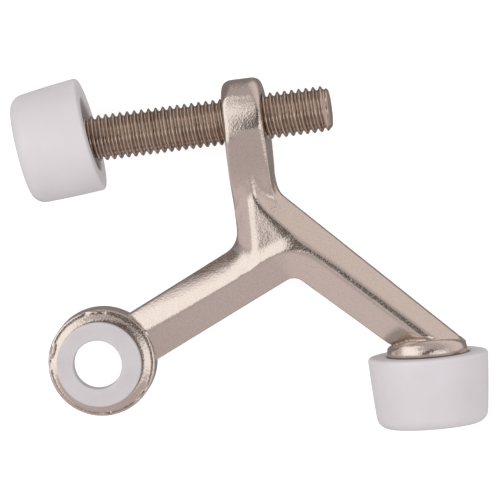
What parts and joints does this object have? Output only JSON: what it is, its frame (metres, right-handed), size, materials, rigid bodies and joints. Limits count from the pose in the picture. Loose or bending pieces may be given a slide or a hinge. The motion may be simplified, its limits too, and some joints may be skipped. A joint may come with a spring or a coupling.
{
  "type": "hinge-pin door stop",
  "caption": "Y-shaped cast bracket that hangs on a door hinge's pin through a nylon-lined eye, with a screw-adjusted rubber bumper for the door and a fixed rubber bumper for the casing.",
  "frame": {"origin": "centre of the casing bumper's flat contact face", "axes": "+Z along the door hinge's pin (upwards in use, from the eye's plain side to the bushing's flange), +X along the threaded rod from the door bumper to the rod's free end, so -X is towards the door; -Y is roughly the way the casing bumper presses"},
  "size_m": [0.0761, 0.0681, 0.0208],
  "materials": {
    "satin_nickel": "satin nickel plate over a zinc die casting, slightly rough as cast, with a soft sheen",
    "bronzed_steel": "dark bronze-tinted plating on a rolled steel thread",
    "nylon": "natural white nylon, matt",
    "bumper_rubber": "matt white moulded rubber"
  },
  "bodies": {
    "bracket": {"cast_bracket": "satin_nickel", "pin_bushing": "nylon", "casing_bumper": "bumper_rubber"},
    "tip": {"door_bumper": "bumper_rubber"},
    "rod": {"threaded_rod": "bronzed_steel"}
  },
  "joints": [
    {"name": "rod_travel", "type": "slide", "parent": "bracket", "child": "tip", "axis": [1, 0, 0], "range_m": [-0.01, 0.02]},
    {"name": "rod_spin", "type": "hinge", "parent": "tip", "child": "rod", "pos_m": [-0.0592, 0.05685, 0], "axis": [1, 0, 0], "range_deg": [-2880, 5760]}
  ],
  "couplings": [
    {"joint": "rod_spin", "follows": "rod_travel", "rad_per_m": 5026.5}
  ]
}
